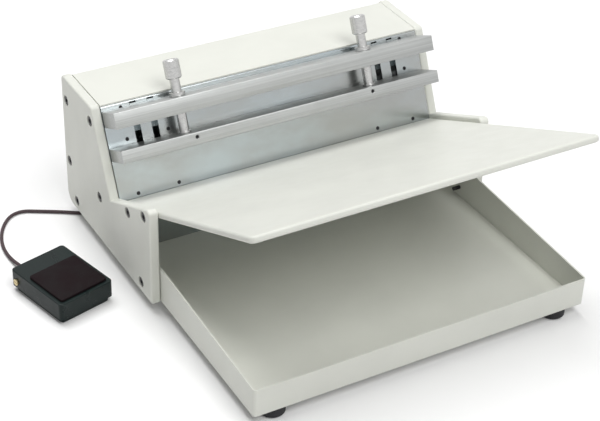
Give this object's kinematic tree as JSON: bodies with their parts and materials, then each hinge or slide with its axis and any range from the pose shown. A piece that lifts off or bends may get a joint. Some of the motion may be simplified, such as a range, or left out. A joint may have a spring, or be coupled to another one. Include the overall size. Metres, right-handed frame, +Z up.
{
  "type": "electric comb binding press",
  "caption": "Desktop press with a powered upper jaw bar over a fixed lower bar, a tilted paper table, a catch tray and a foot pedal on a cord, for closing binding combs along a book's edge",
  "frame": {"origin": "middle of the footprint of the machine and its pedal, on the table top, the free cord left out", "axes": "+X along the jaws to the machine's right, +Y to its back, +Z up"},
  "size_m": [0.4831, 0.4831, 0.196],
  "materials": {
    "white_paint": "satin",
    "zinc": "brushed",
    "jaw_metal": "brushed",
    "bright_steel": "turned",
    "black_screw": "black oxide",
    "bronze": "plain",
    "black_rubber": "matte",
    "gear_case": "satin",
    "board_green": "solder mask",
    "black_plastic": "fine grain",
    "pedal_shell": "fine grain",
    "pedal_rubber": "smooth",
    "cord_sheath": "smooth",
    "tie_plastic": "smooth"
  },
  "bodies": {
    "housing": {"base_plate": "white_paint", "bearings": "bronze", "board_standoffs": "black_plastic", "control_board": "board_green", "cord_coil": "cord_sheath", "cord_gland": "black_plastic", "cord_tie": "tie_plastic", "feet": "black_rubber", "front_panel": "zinc", "gearbox": "gear_case", "gland_cord": "cord_sheath", "jaw_backing_bar": "zinc", "left_bearing_stand": "zinc", "left_guide_block": "zinc", "left_side_plate": "white_paint", "lower_jaw_bar": "jaw_metal", "lower_jaw_screws": "zinc", "motor": "gear_case", "motor_bracket": "zinc", "panel_screws": "zinc", "pedal_base": "pedal_shell", "pedal_bumper": "black_rubber", "pedal_cord": "cord_sheath", "pedal_gland": "black_plastic", "pedal_microswitch": "black_plastic", "pedal_pivot_pin": "bronze", "power_inlet": "black_plastic", "rear_cover": "white_paint", "right_bearing_stand": "zinc", "right_guide_block": "zinc", "right_side_plate": "white_paint", "side_screws": "black_screw", "switch_frame": "black_plastic", "tie_bars": "zinc", "top_cover": "white_paint", "transformer": "black_plastic", "tray": "white_paint", "work_table": "white_paint"},
    "cam": {"left_cam": "zinc", "right_cam": "zinc", "cam_shaft": "zinc", "shaft_coupling": "bright_steel", "gearbox_shaft": "zinc"},
    "jaw": {"upper_jaw_bar": "jaw_metal", "jaw_lugs": "zinc", "jaw_carriage": "zinc", "cam_followers": "zinc"},
    "left_rod": {"left_adjuster_rod": "bright_steel", "left_knob": "bright_steel"},
    "right_rod": {"right_adjuster_rod": "bright_steel", "right_knob": "bright_steel"},
    "left_stop": {"left_stop_nut": "bright_steel"},
    "right_stop": {"right_stop_nut": "bright_steel"},
    "rocker": {"switch_rocker": "black_plastic"},
    "treadle": {"pedal_treadle": "pedal_shell", "pedal_pad": "pedal_rubber"}
  },
  "joints": [
    {"name": "cam_turn", "type": "hinge", "parent": "housing", "child": "cam", "pos_m": [0.05151, 0.1479, 0.08195], "axis": [1, 0, 0], "range_deg": [0, 170]},
    {"name": "jaw_slide", "type": "slide", "parent": "housing", "child": "jaw", "axis": [0, -0.4226, -0.9063], "range_m": [0, 0.01]},
    {"name": "left_adjuster_turn", "type": "hinge", "parent": "housing", "child": "left_rod", "pos_m": [-0.05399, 0.108, 0.16676], "axis": [0, -0.4226, -0.9063], "range_deg": [0, 600]},
    {"name": "left_stop_slide", "type": "slide", "parent": "housing", "child": "left_stop", "axis": [0, 0.4226, 0.9063], "range_m": [0, 0.0025]},
    {"name": "right_adjuster_turn", "type": "hinge", "parent": "housing", "child": "right_rod", "pos_m": [0.15701, 0.108, 0.16676], "axis": [0, -0.4226, -0.9063], "range_deg": [0, 600]},
    {"name": "right_stop_slide", "type": "slide", "parent": "housing", "child": "right_stop", "axis": [0, 0.4226, 0.9063], "range_m": [0, 0.0025]},
    {"name": "switch_rock", "type": "hinge", "parent": "housing", "child": "rocker", "pos_m": [0.13151, 0.1915, 0.04], "axis": [1, 0, 0], "range_deg": [-18, 0]},
    {"name": "pedal_press", "type": "hinge", "parent": "housing", "child": "treadle", "pos_m": [-0.20925, 0.08951, 0.013], "axis": [0.9681, 0.2504, 0], "range_deg": [0, 2.5], "stiffness_Nm_per_rad": 2, "springref_deg": -5.73, "deforming": ["pedal_bumper"]}
  ],
  "couplings": [
    {"joint": "jaw_slide", "follows": "cam_turn", "m_per_rad": 0.0033703},
    {"joint": "left_stop_slide", "follows": "left_adjuster_turn", "m_per_rad": 0.0002387},
    {"joint": "right_stop_slide", "follows": "right_adjuster_turn", "m_per_rad": 0.0002387}
  ]
}
